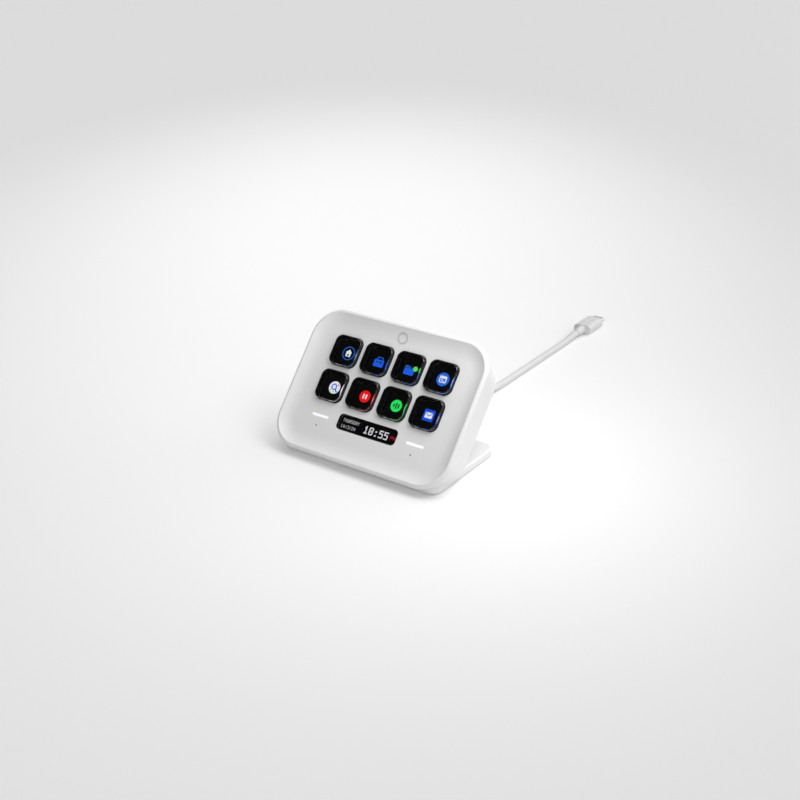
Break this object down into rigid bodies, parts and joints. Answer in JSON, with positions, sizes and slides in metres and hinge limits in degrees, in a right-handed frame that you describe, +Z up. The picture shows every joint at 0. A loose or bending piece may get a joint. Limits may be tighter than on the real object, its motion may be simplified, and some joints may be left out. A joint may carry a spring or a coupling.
{
  "type": "desk macro keypad",
  "caption": "Leaning white desk keypad with clear display keys, an info bar, light bars and touch points on a flat foot, fed by a captive lead with a plug.",
  "frame": {"origin": "on the desk, under the centre of the keypad's outline without its lead", "axes": "+Z up, +X along the keypad's width to the right of someone facing the keys, +Y away from them"},
  "size_m": [0.1083, 0.2649, 0.0644],
  "materials": {
    "shell": "fine satin, white",
    "steel": "zinc plated",
    "grip_rubber": "soft, dark grey",
    "key_clear": "polished clear plastic over a black display",
    "circuit_board": "green solder mask",
    "display_glass": "polished",
    "backlight": "white diffuser",
    "dark_plastic": "fine grain",
    "flex_film": "amber film",
    "info_tint": "polished, tinted",
    "light_diffuser": "milky, lit from behind",
    "wire_cover": "smooth",
    "lead_cover": "smooth, light grey",
    "plug_moulding": "satin, light grey"
  },
  "bodies": {
    "housing": {"front_shell": "shell", "face_ring": "shell", "rear_shell": "shell", "base_shell": "shell", "base_weight": "steel", "base_pad": "grip_rubber", "base_screws": "steel", "dome_sheet": "grip_rubber", "key_board": "circuit_board", "display_glass": "display_glass", "display_backlight": "backlight", "display_carrier": "dark_plastic", "carrier_screws": "steel", "display_ribbon": "flex_film", "info_window": "info_tint", "info_display": "display_glass", "light_guide_left": "light_diffuser", "light_guide_right": "light_diffuser", "touch_board_left": "circuit_board", "touch_board_right": "circuit_board", "touch_pads": "grip_rubber", "main_board": "circuit_board", "main_board_chips": "dark_plastic", "board_screws": "steel", "inner_lead": "wire_cover", "lead_clamp": "dark_plastic", "clamp_screws": "steel", "lead_boot": "lead_cover", "cord_lead": "lead_cover", "cord_coil": "lead_cover", "cord_tail": "lead_cover", "cord_tie": "dark_plastic", "plug_body": "plug_moulding", "plug_shell": "steel"},
    "key_1": {"key_cap_1": "key_clear"},
    "key_2": {"key_cap_2": "key_clear"},
    "key_3": {"key_cap_3": "key_clear"},
    "key_4": {"key_cap_4": "key_clear"},
    "key_5": {"key_cap_5": "key_clear"},
    "key_6": {"key_cap_6": "key_clear"},
    "key_7": {"key_cap_7": "key_clear"},
    "key_8": {"key_cap_8": "key_clear"}
  },
  "joints": [
    {"name": "key_1_press", "type": "slide", "parent": "housing", "child": "key_1", "axis": [0, 0.766, -0.6428], "range_m": [0, 0.0009], "stiffness_N_per_m": 650, "springref_m": -0.0001, "deforming": ["dome_sheet"]},
    {"name": "key_2_press", "type": "slide", "parent": "housing", "child": "key_2", "axis": [0, 0.766, -0.6428], "range_m": [0, 0.0009], "stiffness_N_per_m": 650, "springref_m": -0.0001, "deforming": ["dome_sheet"]},
    {"name": "key_3_press", "type": "slide", "parent": "housing", "child": "key_3", "axis": [0, 0.766, -0.6428], "range_m": [0, 0.0009], "stiffness_N_per_m": 650, "springref_m": -0.0001, "deforming": ["dome_sheet"]},
    {"name": "key_4_press", "type": "slide", "parent": "housing", "child": "key_4", "axis": [0, 0.766, -0.6428], "range_m": [0, 0.0009], "stiffness_N_per_m": 650, "springref_m": -0.0001, "deforming": ["dome_sheet"]},
    {"name": "key_5_press", "type": "slide", "parent": "housing", "child": "key_5", "axis": [0, 0.766, -0.6428], "range_m": [0, 0.0009], "stiffness_N_per_m": 650, "springref_m": -0.0001, "deforming": ["dome_sheet"]},
    {"name": "key_6_press", "type": "slide", "parent": "housing", "child": "key_6", "axis": [0, 0.766, -0.6428], "range_m": [0, 0.0009], "stiffness_N_per_m": 650, "springref_m": -0.0001, "deforming": ["dome_sheet"]},
    {"name": "key_7_press", "type": "slide", "parent": "housing", "child": "key_7", "axis": [0, 0.766, -0.6428], "range_m": [0, 0.0009], "stiffness_N_per_m": 650, "springref_m": -0.0001, "deforming": ["dome_sheet"]},
    {"name": "key_8_press", "type": "slide", "parent": "housing", "child": "key_8", "axis": [0, 0.766, -0.6428], "range_m": [0, 0.0009], "stiffness_N_per_m": 650, "springref_m": -0.0001, "deforming": ["dome_sheet"]}
  ]
}
